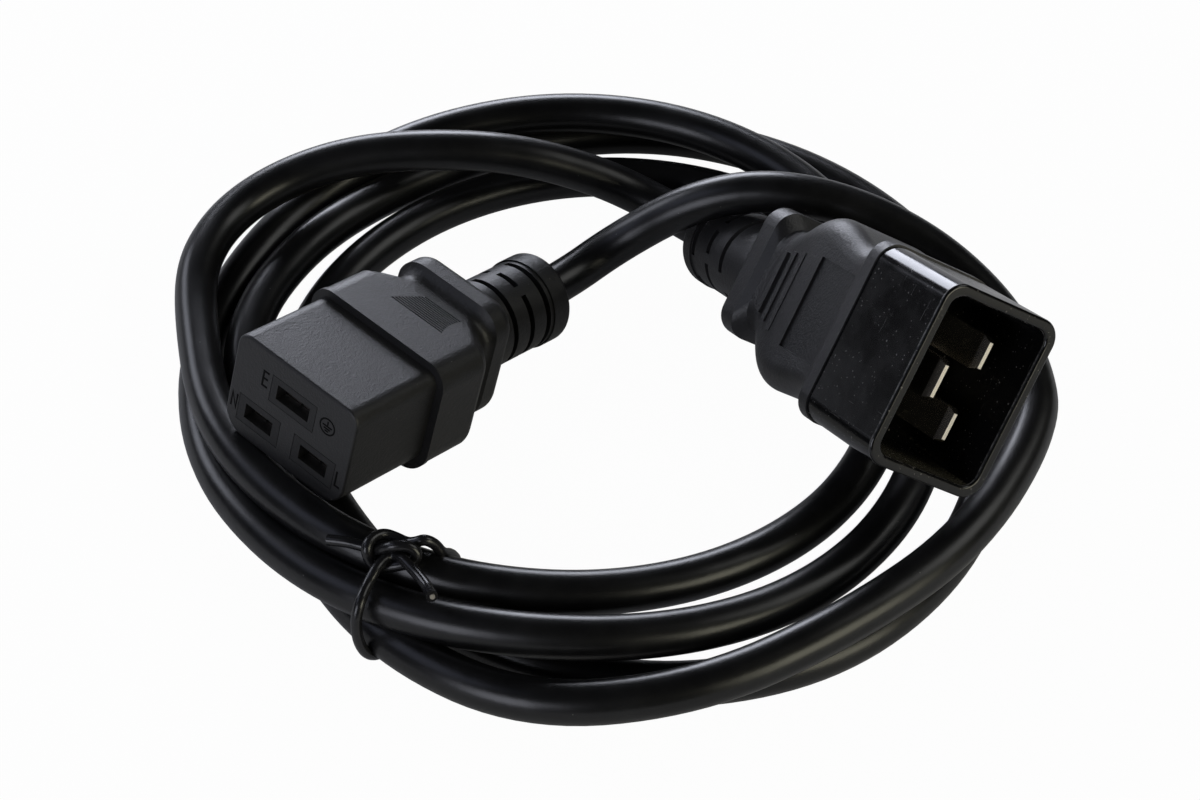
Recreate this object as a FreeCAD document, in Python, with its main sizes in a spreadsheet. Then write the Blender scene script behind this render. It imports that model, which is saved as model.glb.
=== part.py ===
"""Power cord set: a C19 connector on a 7.6 mm cord that lies coiled, with its C20 plug.

Row frame: origin at the middle of the C19 mating face, +X along the floor from that face towards
the cord, +Y towards the neutral slot, +Z up. Each connector is drawn in a frame of its own, with x
from its mating face towards the cord, y across and z towards its earth contact, and is then laid
in the row frame by one Placement.
"""
import FreeCAD, Part
import math
import os
import Sketcher

Vector = FreeCAD.Vector
doc = FreeCAD.newDocument("power_cord_set")
sheet = doc.addObject("Spreadsheet::Sheet", "sizes")
# The driving dimensions. Angles are in degrees, and names that end in _count are numbers of pieces.
SIZES = {
    # shared by both connectors
    "fit_gap": 0.1,            # moulded piece in its pocket, each side
    "pin_gap": 0.05,           # pin in the shroud floor, wire in its crimp, cord in its relief
    "contact_offset": 6.5,     # line and neutral, each side of the middle
    "cord_diameter": 7.6,
    "core_radius": 1.55,
    "conductor_radius": 0.9,
    "core_pack": 2.05,         # core centres from the cord's middle
    "barrel_radius": 1.9,
    # c19 nose and face
    "nose_length": 19.4, "nose_half": 14.0, "nose_top": 10.1, "nose_bottom": 10.1,
    "nose_round": 2.6, "nose_round_low": 4.5, "nose_edge": 0.5,
    "slot_low": 4.4, "slot_high": 3.6,
    "slot_width": 6.35, "slot_height": 2.9, "earth_slot_width": 7.5, "mouth_depth": 2.5,
    # c19 contacts and carrier
    "sleeve_width": 7.4, "earth_sleeve_width": 8.1, "sleeve_height": 3.1, "sleeve_wall": 0.5,
    "sleeve_end": 17.0, "barrel_end": 23.5, "barrel_depth": 5.0, "seam_width": 0.5,
    "tower_wall": 0.9, "block_start": 15.0, "block_end": 24.0,
    "block_half": 12.2, "block_top": 7.4, "block_bottom": 8.2,
    # c19 grip
    "bead_length": 1.0, "bead_half": 15.6, "bead_top": 11.6, "bead_bottom": 11.7,
    "bead_round": 4.2, "bead_round_low": 5.7,
    "grip_end": 30.0, "grip_half": 15.4, "grip_top": 11.4, "grip_bottom": 11.5,
    "grip_round": 4.0, "grip_round_low": 5.5,
    "shoulder_x": 31.8, "shoulder_half": 14.5, "shoulder_top": 11.3, "shoulder_bottom": 11.2,
    "shoulder_round": 5.0, "shoulder_round_low": 5.5,
    "neck_x": 33.5, "neck_half": 12.6, "neck_top": 11.15, "neck_bottom": 10.0,
    "neck_round": 5.2, "neck_round_low": 5.5,
    "waist_x": 35.0, "waist_half": 11.2, "waist_top": 11.2, "waist_bottom": 9.2,
    "waist_round": 5.2, "waist_round_low": 5.5,
    "flange_start": 37.2, "flange_end": 42.0, "flange_half": 11.8, "flange_top": 13.2,
    "flange_bottom": 11.0, "flange_round": 5.2, "flange_round_low": 6.5, "flange_edge": 2.2,
    # c19 finger ribs
    "rib_count": 11, "rib_first": 27.5, "rib_pitch": 0.52, "rib_groove": 0.3, "rib_depth": 0.5,
    "rib_left": 5.2, "rib_slant": 0.6, "rib_right": 6.1, "rib_bow": 0.02, "rib_middle": 6,
    # c19 strain relief
    "relief_end": 64.0, "relief_radius": 8.2, "relief_ring": 59.5, "ring_radius": 8.5,
    "relief_edge": 0.8, "cut_width": 1.2, "cut_floor": 4.7,
    "cut_first": 49.0, "cut_pitch": 4.5, "cut_long": 150.0, "cut_short": 40.0,
    "jacket_start": 56.5, "lead_turn": 70.5,
    # c20 shroud and pins
    "shroud_length": 20.5, "shroud_floor": 0.9, "shroud_half": 16.2, "shroud_high": 12.4,
    "shroud_round": 3.8, "shroud_wall": 1.9, "rim_edge": 0.5, "cavity_round": 2.4,
    "tail_end": 30.5, "tail_half": 12.6, "tail_high": 9.2, "tail_round": 3.0,
    "pin_width": 6.0, "earth_pin_width": 7.0, "pin_thick": 2.0,
    "pin_tip": 4.0, "earth_pin_tip": 1.6, "pin_chamfer": 1.3, "pin_end": 24.5,
    "pin_low": 3.65, "pin_high": 4.4, "plug_barrel_end": 30.3,
    # c20 grip
    "band_half": 16.5, "band_high": 12.7, "band_round": 4.0,
    "root_x": 23.0, "root_half": 16.0, "root_high": 12.2, "root_round": 4.0,
    "belly_x": 34.0, "belly_half": 15.5, "belly_high": 11.6, "belly_round": 4.4,
    "taper_x": 44.5, "taper_half": 14.0, "taper_high": 10.5, "taper_round": 5.0,
    "saddle_x": 50.5, "saddle_half": 10.4, "saddle_high": 9.3, "saddle_round": 5.0,
    "foot_x": 53.0, "foot_half": 10.2, "foot_high": 9.3, "foot_round": 5.0,
    "lobe_start": 54.6, "lobe_end": 59.5, "lobe_half": 12.2, "lobe_high": 10.3,
    "lobe_round": 4.0, "lobe_edge": 1.4,
    "panel_start": 24.9, "panel_end": 36.0, "panel_half": 8.4, "panel_round": 1.2,
    "panel_floor": 11.1,
    "ridge_count": 3, "ridge_first": 41.3, "ridge_pitch": 3.2, "ridge_width": 1.1,
    "ridge_foot": 7.0, "ridge_top": 11.3, "ridge_fall": 0.45, "ridge_half": 7.4,
    "ridge_shrink": 0.8,
    # c20 strain relief
    "tail_relief_end": 83.5, "tail_relief_radius": 8.3, "tail_relief_ring": 80.3,
    "tail_ring_radius": 8.6, "tail_cut_first": 68.8, "tail_cut_pitch": 5.3,
    "plug_jacket_start": 78.5, "plug_lead_turn": 90.0,
    # inner moulds
    "mould_half": 10.0, "mould_top": 6.6, "mould_bottom": 7.8, "mould_round": 2.0,
    "mould_tail": 4.3, "mould_tail_round": 2.0, "core_start": 24.4, "core_turn": 27.0,
    "core_join": 40.0, "mould_end": 43.0, "core_bend": 5.0,
    "plug_mould_top": 7.6, "plug_mould_bottom": 7.2,
    "plug_core_start": 31.2, "plug_core_turn": 34.0, "plug_core_join": 53.0,
    "plug_mould_end": 56.5,
    # how the set lies
    "floor_z": -25.6,
    "connector_pitch": 15.69, "connector_roll": 3.81,
    "plug_x": 66.6, "plug_y": -88.8, "plug_z": 14.36,
    "plug_yaw": 68.4, "plug_pitch": 22.2, "plug_roll": -50.0,
    "coil_x": 53.5, "coil_y": -24.0, "coil_start": 300.0,
    # tie
    "tie_diameter": 1.9, "tie_core_diameter": 1.0, "tie_bare": 3.0,
}
for row, (name, value) in enumerate(SIZES.items(), 1):
    sheet.set("A%d" % row, name)
    sheet.set("B%d" % row, str(value))
    sheet.setAlias("B%d" % row, name)
doc.recompute()


def mm(name):
    """A size from the sheet."""
    return float(sheet.get(name))


CONNECTOR = FreeCAD.Placement(Vector(0, 0, 0),
                              FreeCAD.Rotation(0, mm("connector_pitch"), mm("connector_roll")))
PLUG = FreeCAD.Placement(Vector(mm("plug_x"), mm("plug_y"), mm("plug_z")),
                         FreeCAD.Rotation(mm("plug_yaw"), mm("plug_pitch"), mm("plug_roll")))
ROW = FreeCAD.Placement()
nodes = []


# ---------------------------------------------------------------- sketch and feature helpers

def new_body(label, place):
    """A body whose label names its file."""
    body = doc.addObject("PartDesign::Body", label)
    body.Label = label
    body.Placement = place
    nodes.append(body)
    return body


def new_sketch(body, name, station="0", role="YZ_Plane"):
    """A sketch on one of the body's own origin planes, set off along its normal."""
    sketch = body.newObject("Sketcher::SketchObject", name)
    base = next(item for item in body.Origin.OriginFeatures if item.Role == role)
    sketch.AttachmentSupport = [(base, "")]
    sketch.MapMode = "FlatFace"
    sketch.setExpression("AttachmentOffset.Base.z", station)
    return sketch


def bind(sketch, kind, arguments, name, expression):
    """Add one driving constraint and tie it to the sheet."""
    index = sketch.addConstraint(Sketcher.Constraint(kind, *arguments))
    sketch.renameConstraint(index, name)
    sketch.setExpression("Constraints." + name, expression)


def rounded(body, name, station, half, top, bottom, round_top, round_low, grow=""):
    """A rectangle with rounded corners about the x axis. The sizes are names in the sheet."""
    extra = mm(grow) if grow else 0.0
    more = " + sizes." + grow if grow else ""
    across, up, down = mm(half) + extra, mm(top) + extra, mm(bottom) + extra
    high, low = mm(round_top), mm(round_low)
    sketch = new_sketch(body, name, station)
    normal = Vector(0, 0, 1)

    def arc(y, z, radius, start):
        circle = Part.Circle(Vector(y, z, 0), normal, radius)
        return Part.ArcOfCircle(circle, math.radians(start), math.radians(start + 90))

    sketch.addGeometry([
        Part.LineSegment(Vector(across - high, up, 0), Vector(high - across, up, 0)),
        arc(high - across, up - high, high, 90),
        Part.LineSegment(Vector(-across, up - high, 0), Vector(-across, low - down, 0)),
        arc(low - across, low - down, low, 180),
        Part.LineSegment(Vector(low - across, -down, 0), Vector(across - low, -down, 0)),
        arc(across - low, low - down, low, 270),
        Part.LineSegment(Vector(across, low - down, 0), Vector(across, up - high, 0)),
        arc(across - high, up - high, high, 0)], False)
    for this in range(8):
        sketch.addConstraint(Sketcher.Constraint("Tangent", this, 2, (this + 1) % 8, 1))
    for flat in (0, 4):
        sketch.addConstraint(Sketcher.Constraint("Horizontal", flat))
    for upright in (2, 6):
        sketch.addConstraint(Sketcher.Constraint("Vertical", upright))
    sketch.addConstraint(Sketcher.Constraint("Equal", 1, 7))
    sketch.addConstraint(Sketcher.Constraint("Equal", 3, 5))
    bind(sketch, "Radius", (1, high), "high_round", "sizes." + round_top)
    bind(sketch, "Radius", (3, low), "low_round", "sizes." + round_low)
    bind(sketch, "DistanceX", (-1, 1, 6, 1, across), "right", "sizes." + half + more)
    bind(sketch, "DistanceX", (2, 1, -1, 1, across), "left", "sizes." + half + more)
    bind(sketch, "DistanceY", (-1, 1, 0, 1, up), "upper", "sizes." + top + more)
    bind(sketch, "DistanceY", (4, 1, -1, 1, down), "lower", "sizes." + bottom + more)
    return sketch


def box_outline(sketch, left, right, lower, upper, tag=""):
    """A plain rectangle in a sketch, from four expressions measured from its origin."""
    first = sketch.GeometryCount
    corners = [Vector(1, 1, 0), Vector(2, 1, 0), Vector(2, 2, 0), Vector(1, 2, 0)]
    for this in range(4):
        sketch.addGeometry(Part.LineSegment(corners[this], corners[(this + 1) % 4]), False)
    for this in range(4):
        sketch.addConstraint(Sketcher.Constraint(
            "Coincident", first + this, 2, first + (this + 1) % 4, 1))
    for flat in (0, 2):
        sketch.addConstraint(Sketcher.Constraint("Horizontal", first + flat))
    for upright in (1, 3):
        sketch.addConstraint(Sketcher.Constraint("Vertical", first + upright))
    bind(sketch, "DistanceX", (-1, 1, first, 1, 1.0), "left" + tag, left)
    bind(sketch, "DistanceY", (-1, 1, first, 1, 1.0), "lower" + tag, lower)
    bind(sketch, "DistanceX", (-1, 1, first + 1, 2, 2.0), "right" + tag, right)
    bind(sketch, "DistanceY", (-1, 1, first + 1, 2, 2.0), "upper" + tag, upper)


def circle_outline(sketch, across, up, radius, tag=""):
    """A circle in a sketch, from three expressions."""
    index = sketch.addGeometry(Part.Circle(Vector(1, 1, 0), Vector(0, 0, 1), 1.0), False)
    bind(sketch, "Radius", (index, 1.0), "radius" + tag, radius)
    bind(sketch, "DistanceX", (-1, 1, index, 3, 1.0), "across" + tag, across)
    bind(sketch, "DistanceY", (-1, 1, index, 3, 1.0), "up" + tag, up)


def pad(body, sketch, length, name):
    """Add material along +x from the sketch."""
    feature = body.newObject("PartDesign::Pad", name)
    feature.Profile = sketch
    feature.setExpression("Length", length)
    return feature


def pocket(body, sketch, length, name, forward=True):
    """Cut along +x from the sketch, or along -x."""
    feature = body.newObject("PartDesign::Pocket", name)
    feature.Profile = sketch
    feature.Reversed = forward
    feature.setExpression("Length", length)
    return feature


def loft(body, sketches, name, kind="Additive"):
    """A smooth loft through the sketches, added or cut."""
    feature = body.newObject("PartDesign::%sLoft" % kind, name)
    feature.Profile = sketches[0]
    feature.Sections = sketches[1:]
    feature.Ruled = False
    return feature


def edges_at(feature, x):
    """Names of the edges that lie in the plane at this x."""
    found = []
    for index, edge in enumerate(feature.Shape.Edges):
        box = edge.BoundBox
        if abs(box.XMin - x) < 1e-4 and abs(box.XMax - x) < 1e-4:
            found.append("Edge%d" % (index + 1))
    return found


def soften(body, kind, feature, names, size, name):
    """Fillet or Chamfer the named edges of the last feature."""
    result = body.newObject("PartDesign::" + kind, name)
    result.Base = (feature, names)
    result.setExpression("Radius" if kind == "Fillet" else "Size", size)
    return result


def cut_arc(body, name, station, middle, span, outer):
    """A slot part of the way round the strain relief, centred on an angle up from +z."""
    sketch = new_sketch(body, name + "_sketch", role="XZ_Plane")
    sketch.AttachmentOffset = FreeCAD.Placement(Vector(0, 0, 0),
                                                FreeCAD.Rotation(Vector(1, 0, 0), middle))
    box_outline(sketch, "%s - sizes.cut_width / 2" % station, "%s + sizes.cut_width / 2" % station,
                "sizes.cut_floor", "sizes.%s + 1" % outer)
    groove = body.newObject("PartDesign::Groove", name)
    groove.Profile = sketch
    groove.ReferenceAxis = (sketch, ["H_Axis"])
    groove.Midplane = True
    groove.setExpression("Angle", span)
    return groove


def relief_cuts(body, first, pitch, outer):
    """Three rows of slots: two long ones in the outer rows, long and short in the middle row."""
    rows = [[(45, "cut_long"), (225, "cut_long")],
            [(0, "cut_short"), (90, "cut_long"), (180, "cut_short"), (270, "cut_long")],
            [(45, "cut_long"), (225, "cut_long")]]
    for row, slots in enumerate(rows):
        station = "sizes.%s + %d * sizes.%s" % (first, row, pitch)
        for count, (middle, span) in enumerate(slots):
            angle = "sizes.%s * 0.8" % span if row == 1 else "sizes.%s" % span
            cut_arc(body, "slot_%d_%d" % (row, count), station, middle, angle, outer)


# ---------------------------------------------------------------- C19 connector

def connector_housing():
    """The soft outer moulding: nose, collar, grip, waist, flange and slotted strain relief."""
    body = new_body("c19_housing", CONNECTOR)
    nose = pad(body, rounded(body, "nose_section", "0", "nose_half", "nose_top", "nose_bottom",
                             "nose_round", "nose_round_low"), "sizes.nose_length + 1", "nose")
    doc.recompute()
    soften(body, "Fillet", nose, edges_at(nose, 0.0), "sizes.nose_edge", "nose_rim")
    pad(body, rounded(body, "bead_section", "sizes.nose_length", "bead_half", "bead_top",
                      "bead_bottom", "bead_round", "bead_round_low"), "sizes.bead_length", "bead")
    pad(body, rounded(body, "grip_section", "sizes.nose_length + sizes.bead_length", "grip_half",
                      "grip_top", "grip_bottom", "grip_round", "grip_round_low"),
        "sizes.grip_end - sizes.nose_length - sizes.bead_length", "grip")
    stations = [("grip_end", "grip"), ("shoulder_x", "shoulder"), ("neck_x", "neck"),
                ("waist_x", "waist"), ("flange_start", "flange")]
    loft(body, [rounded(body, name + "_section_back", "sizes." + station, name + "_half",
                        name + "_top", name + "_bottom", name + "_round", name + "_round_low")
                for station, name in stations], "shoulders")
    flange = pad(body, rounded(body, "flange_section", "sizes.flange_start", "flange_half",
                               "flange_top", "flange_bottom", "flange_round", "flange_round_low"),
                 "sizes.flange_end - sizes.flange_start", "flange")
    doc.recompute()
    rims = edges_at(flange, mm("flange_end"))
    soften(body, "Fillet", flange, rims, "sizes.flange_edge", "flange_rim")
    strain_relief(body, "flange_end", "relief_end", "relief_radius", "relief_ring", "ring_radius")
    relief_cuts(body, "cut_first", "cut_pitch", "ring_radius")
    finger_grooves(body)
    return body


def strain_relief(body, start, end, radius, ring, ring_radius):
    """A round sleeve with a slightly larger ring at its end."""
    sleeve = new_sketch(body, "relief_circle", "sizes.%s - 1" % start)
    circle_outline(sleeve, "0", "0", "sizes." + radius)
    pad(body, sleeve, "sizes.%s - sizes.%s + 1" % (end, start), "relief")
    collar = new_sketch(body, "ring_circle", "sizes." + ring)
    circle_outline(collar, "0", "0", "sizes." + ring_radius)
    last = pad(body, collar, "sizes.%s - sizes.%s" % (end, ring), "relief_ring")
    doc.recompute()
    soften(body, "Fillet", last, edges_at(last, mm(end)), "sizes.relief_edge", "relief_rim")


def finger_grooves(body):
    """Fine grooves across the top of the grip: one end on a slant, the other on a curve."""
    sketch = new_sketch(body, "groove_lines", "sizes.grip_top + 1", "XY_Plane")
    for count in range(int(mm("rib_count"))):
        place = "sizes.rib_first + %d * sizes.rib_pitch" % count
        bow = "sizes.rib_bow * (%d - sizes.rib_middle) ^ 2" % count
        box_outline(sketch, place, place + " + sizes.rib_groove",
                    "0 - sizes.rib_right - " + bow,
                    "sizes.rib_left - %d * sizes.rib_pitch * sizes.rib_slant" % count,
                    "_%d" % count)
    pocket(body, sketch, "sizes.rib_depth + 1", "finger_grooves", forward=False)


def connector_cavities(body):
    """What the carrier, the inner mould, the cores and the cord fill inside the housing."""
    for name, across, up, width in slots():
        opening = new_sketch(body, name + "_tower_hole")
        box_around(opening, across, up, width, "sizes.tower_wall + 3 * sizes.fit_gap")
        pocket(body, opening, "sizes.block_start", name + "_tower_way")
    block = new_sketch(body, "block_hole", "sizes.block_start - sizes.fit_gap")
    box_outline(block, "0 - sizes.block_half - sizes.fit_gap",
                "sizes.block_half + sizes.fit_gap", "0 - sizes.block_bottom - sizes.fit_gap",
                "sizes.block_top + sizes.fit_gap")
    pocket(body, block, "sizes.block_end - sizes.block_start + 2 * sizes.fit_gap", "block_way")
    loft(body, mould_sections(body, "block_end", "mould_top", "mould_bottom", "mould_end",
                              "fit_gap"), "mould_way", "Subtractive")
    bore = new_sketch(body, "cord_bore", "sizes.mould_end")
    circle_outline(bore, "0", "0", "sizes.cord_diameter / 2 + sizes.pin_gap")
    pocket(body, bore, "sizes.relief_end - sizes.mould_end", "cord_way")


def slots():
    """Name, place and sleeve width of the three slots, seen in the face."""
    return [("line", "0 - sizes.contact_offset", "0 - sizes.slot_low", "sleeve_width"),
            ("neutral", "sizes.contact_offset", "0 - sizes.slot_low", "sleeve_width"),
            ("earth", "0", "sizes.slot_high", "earth_sleeve_width")]


def box_around(sketch, across, up, width, margin, tag="", height="sleeve_height"):
    """A rectangle about a contact's middle, a margin larger than a named width and height."""
    box_outline(sketch, "%s - sizes.%s / 2 - (%s)" % (across, width, margin),
                "%s + sizes.%s / 2 + (%s)" % (across, width, margin),
                "%s - sizes.%s / 2 - (%s)" % (up, height, margin),
                "%s + sizes.%s / 2 + (%s)" % (up, height, margin), tag)


def mould_sections(body, start, top, bottom, end, grow=""):
    """The two ends of an inner mould, which narrows towards the cord."""
    front = rounded(body, "mould_front", "sizes." + start, "mould_half", top, bottom,
                    "mould_round", "mould_round", grow)
    back = rounded(body, "mould_back", "sizes." + end, "mould_tail", "mould_tail", "mould_tail",
                   "mould_tail_round", "mould_tail_round", grow)
    return [front, back]


def connector_carrier():
    """The hard insert: a block with three hollow towers whose ends lie flush in the face."""
    body = new_body("c19_carrier", CONNECTOR)
    block = new_sketch(body, "block_section", "sizes.block_start")
    box_outline(block, "0 - sizes.block_half", "sizes.block_half",
                "0 - sizes.block_bottom", "sizes.block_top")
    pad(body, block, "sizes.block_end - sizes.block_start - sizes.fit_gap", "block")
    for name, across, up, width in slots():
        tower = new_sketch(body, name + "_tower_section")
        box_around(tower, across, up, width, "sizes.tower_wall + 2 * sizes.fit_gap")
        pad(body, tower, "sizes.block_start + 1", name + "_tower")
    for name, across, up, width in slots():
        mouth = new_sketch(body, name + "_mouth_section")
        opening = "earth_slot_width" if name == "earth" else "slot_width"
        box_around(mouth, across, up, opening, "0", height="slot_height")
        pocket(body, mouth, "sizes.mouth_depth + 0.5", name + "_mouth")
        chamber = new_sketch(body, name + "_chamber_section", "sizes.mouth_depth")
        box_around(chamber, across, up, width, "sizes.fit_gap")
        pocket(body, chamber, "sizes.sleeve_end + sizes.fit_gap - sizes.mouth_depth",
               name + "_chamber")
        channel = new_sketch(body, name + "_channel_circle", "sizes.sleeve_end")
        circle_outline(channel, across, up, "sizes.barrel_radius + sizes.fit_gap")
        pocket(body, channel, "sizes.block_end - sizes.sleeve_end", name + "_channel")
    return body


def female_contact(name, across, up, width):
    """A folded sleeve with an open seam, closed at the back by the web that carries its crimp."""
    body = new_body("c19_contact_" + name, CONNECTOR)
    sleeve = new_sketch(body, "sleeve_section", "sizes.mouth_depth + sizes.fit_gap")
    box_around(sleeve, across, up, width, "0")
    pad(body, sleeve, "sizes.sleeve_end - sizes.mouth_depth - sizes.fit_gap", "sleeve")
    barrel = new_sketch(body, "barrel_circle", "sizes.sleeve_end")
    circle_outline(barrel, across, up, "sizes.barrel_radius")
    pad(body, barrel, "sizes.barrel_end - sizes.sleeve_end", "barrel")
    inside = new_sketch(body, "inside_section", "sizes.mouth_depth")
    box_around(inside, across, up, width, "0 - sizes.sleeve_wall")
    pocket(body, inside, "sizes.sleeve_end - 2 * sizes.sleeve_wall - sizes.mouth_depth", "inside")
    seam = new_sketch(body, "seam_section", "sizes.mouth_depth")
    box_outline(seam, "%s - sizes.seam_width / 2" % across, "%s + sizes.seam_width / 2" % across,
                "%s - sizes.sleeve_height" % up, up)
    pocket(body, seam, "sizes.sleeve_end - 3 * sizes.sleeve_wall - sizes.mouth_depth", "seam")
    crimp = new_sketch(body, "crimp_circle", "sizes.barrel_end - sizes.barrel_depth")
    circle_outline(crimp, across, up, "sizes.conductor_radius + sizes.pin_gap")
    pocket(body, crimp, "sizes.barrel_depth", "crimp")
    return body


# ---------------------------------------------------------------- C20 plug

def plug_pins():
    """Name, place, blade width and tip depth of the three pins."""
    return [("line", "0 - sizes.contact_offset", "0 - sizes.pin_low", "pin_width",
             "pin_tip"),
            ("neutral", "sizes.contact_offset", "0 - sizes.pin_low", "pin_width", "pin_tip"),
            ("earth", "0", "sizes.pin_high", "earth_pin_width", "earth_pin_tip")]


def plug_shroud():
    """The glossy front of the plug: an open box with a floor that the pins stand in."""
    body = new_body("c20_shroud", PLUG)
    shell = pad(body, rounded(body, "shell_section", "0", "shroud_half", "shroud_high",
                              "shroud_high", "shroud_round", "shroud_round"),
                "sizes.shroud_length", "shell")
    pad(body, rounded(body, "tail_section", "sizes.shroud_length", "tail_half", "tail_high",
                      "tail_high", "tail_round", "tail_round"),
        "sizes.tail_end - sizes.shroud_length", "tail")
    cavity = new_sketch(body, "cavity_section")
    box_outline(cavity, "sizes.shroud_wall - sizes.shroud_half",
                "sizes.shroud_half - sizes.shroud_wall",
                "sizes.shroud_wall - sizes.shroud_high", "sizes.shroud_high - sizes.shroud_wall")
    depth = "sizes.shroud_length - sizes.shroud_floor"
    hollow = pocket(body, cavity, depth, "cavity")
    doc.recompute()
    inner = [index for index, edge in enumerate(hollow.Shape.Edges)
             if edge.BoundBox.YLength + edge.BoundBox.ZLength < 1e-4
             and edge.BoundBox.XMin < 1e-4
             and abs(edge.CenterOfMass.y) < mm("shroud_half") - mm("shroud_wall") + 1e-4]
    corners = soften(body, "Fillet", hollow, ["Edge%d" % (index + 1) for index in inner],
                     "sizes.cavity_round", "cavity_corners")
    doc.recompute()
    soften(body, "Fillet", corners, edges_at(corners, 0.0), "sizes.rim_edge", "rim")
    for name, across, up, width, tip in plug_pins():
        blade = new_sketch(body, name + "_blade_hole", depth)
        box_around(blade, across, up, width, "sizes.pin_gap", height="pin_thick")
        pocket(body, blade, "sizes.pin_end - (%s)" % depth, name + "_blade_way")
        barrel = new_sketch(body, name + "_barrel_hole", "sizes.pin_end - sizes.pin_gap")
        circle_outline(barrel, across, up, "sizes.barrel_radius + sizes.pin_gap")
        pocket(body, barrel, "sizes.tail_end - sizes.pin_end + sizes.pin_gap", name + "_barrel_way")
    return body


def male_pin(name, across, up, width, tip):
    """A flat blade with a chamfered tip and a round crimp behind the shroud floor."""
    body = new_body("c20_pin_" + name, PLUG)
    point = new_sketch(body, "tip_section", "sizes." + tip)
    box_around(point, across, up, width, "0 - sizes.pin_chamfer / 2", height="pin_thick")
    full = new_sketch(body, "full_section", "sizes.%s + sizes.pin_chamfer" % tip)
    box_around(full, across, up, width, "0", height="pin_thick")
    loft(body, [point, full], "tip")
    root = new_sketch(body, "root_section", "sizes.%s + sizes.pin_chamfer" % tip)
    box_around(root, across, up, width, "0", height="pin_thick")
    pad(body, root, "sizes.pin_end - sizes.%s - sizes.pin_chamfer" % tip, "blade")
    barrel = new_sketch(body, "barrel_circle", "sizes.pin_end")
    circle_outline(barrel, across, up, "sizes.barrel_radius")
    pad(body, barrel, "sizes.plug_barrel_end - sizes.pin_end", "barrel")
    crimp = new_sketch(body, "crimp_circle", "sizes.plug_barrel_end - sizes.barrel_depth")
    circle_outline(crimp, across, up, "sizes.conductor_radius + sizes.pin_gap")
    pocket(body, crimp, "sizes.barrel_depth", "crimp")
    return body


def plug_housing():
    """The matte moulding behind the shroud, with its saddle, lobes and slotted strain relief."""
    body = new_body("c20_housing", PLUG)
    pad(body, rounded(body, "band_section", "sizes.shroud_length", "band_half", "band_high",
                      "band_high", "band_round", "band_round"),
        "sizes.root_x - sizes.shroud_length", "band")
    stations = ["root", "belly", "taper", "saddle", "foot"]
    loft(body, [rounded(body, name + "_section", "sizes.%s_x" % name, name + "_half",
                        name + "_high", name + "_high", name + "_round", name + "_round")
                for name in stations], "grip")
    slope = loft(body, [rounded(body, "slope_" + name, "sizes." + station, name + "_half",
                                name + "_high", name + "_high", name + "_round", name + "_round")
                        for name, station in (("foot", "foot_x"), ("lobe", "lobe_start"))], "slope")
    slope.Ruled = True
    lobes = pad(body, rounded(body, "lobe_section", "sizes.lobe_start", "lobe_half", "lobe_high",
                              "lobe_high", "lobe_round", "lobe_round"),
                "sizes.lobe_end - sizes.lobe_start", "lobes")
    doc.recompute()
    soften(body, "Fillet", lobes, edges_at(lobes, mm("lobe_end")), "sizes.lobe_edge", "lobe_rim")
    grip_panel(body)
    grip_ridges(body)
    strain_relief(body, "lobe_end", "tail_relief_end", "tail_relief_radius", "tail_relief_ring",
                  "tail_ring_radius")
    relief_cuts(body, "tail_cut_first", "tail_cut_pitch", "tail_ring_radius")
    return body


def plug_cavities(body):
    """What the shroud's tail, the inner mould, the cores and the cord fill in the housing."""
    tail = rounded(body, "tail_hole", "sizes.shroud_length", "tail_half", "tail_high",
                   "tail_high", "tail_round", "tail_round", "fit_gap")
    pocket(body, tail, "sizes.tail_end - sizes.shroud_length + sizes.fit_gap", "tail_way")
    loft(body, mould_sections(body, "tail_end", "plug_mould_top", "plug_mould_bottom",
                              "plug_mould_end", "fit_gap"), "mould_way", "Subtractive")
    bore = new_sketch(body, "cord_bore", "sizes.plug_mould_end")
    circle_outline(bore, "0", "0", "sizes.cord_diameter / 2 + sizes.pin_gap")
    pocket(body, bore, "sizes.tail_relief_end - sizes.plug_mould_end", "cord_way")


def grip_panel(body):
    """A shallow bare recess in the broad side of the grip."""
    sketch = new_sketch(body, "panel_outline", "sizes.panel_floor", "XY_Plane")
    box_outline(sketch, "sizes.panel_start", "sizes.panel_end", "0 - sizes.panel_half",
                "sizes.panel_half")
    pocket(body, sketch, "sizes.band_high - sizes.panel_floor", "panel")


def grip_ridges(body):
    """Raised bars across both broad sides, each lower and shorter towards the saddle."""
    bars = []
    for count in range(int(mm("ridge_count"))):
        sketch = new_sketch(body, "ridge_outline_%d" % count, "sizes.ridge_foot", "XY_Plane")
        start = "sizes.ridge_first + %d * sizes.ridge_pitch" % count
        reach = "sizes.ridge_half - %d * sizes.ridge_shrink" % count
        box_outline(sketch, start, start + " + sizes.ridge_width", "0 - (%s)" % reach, reach)
        bars.append(pad(body, sketch, "sizes.ridge_top - %d * sizes.ridge_fall - sizes.ridge_foot"
                        % count, "ridge_%d" % count))
    mirror = body.newObject("PartDesign::Mirrored", "ridges_below")
    mirror.Originals = bars
    middle = next(item for item in body.Origin.OriginFeatures if item.Role == "XY_Plane")
    mirror.MirrorPlane = (middle, [""])
    body.Tip = mirror


# ---------------------------------------------------------------- round runs: cores and cord

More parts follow.
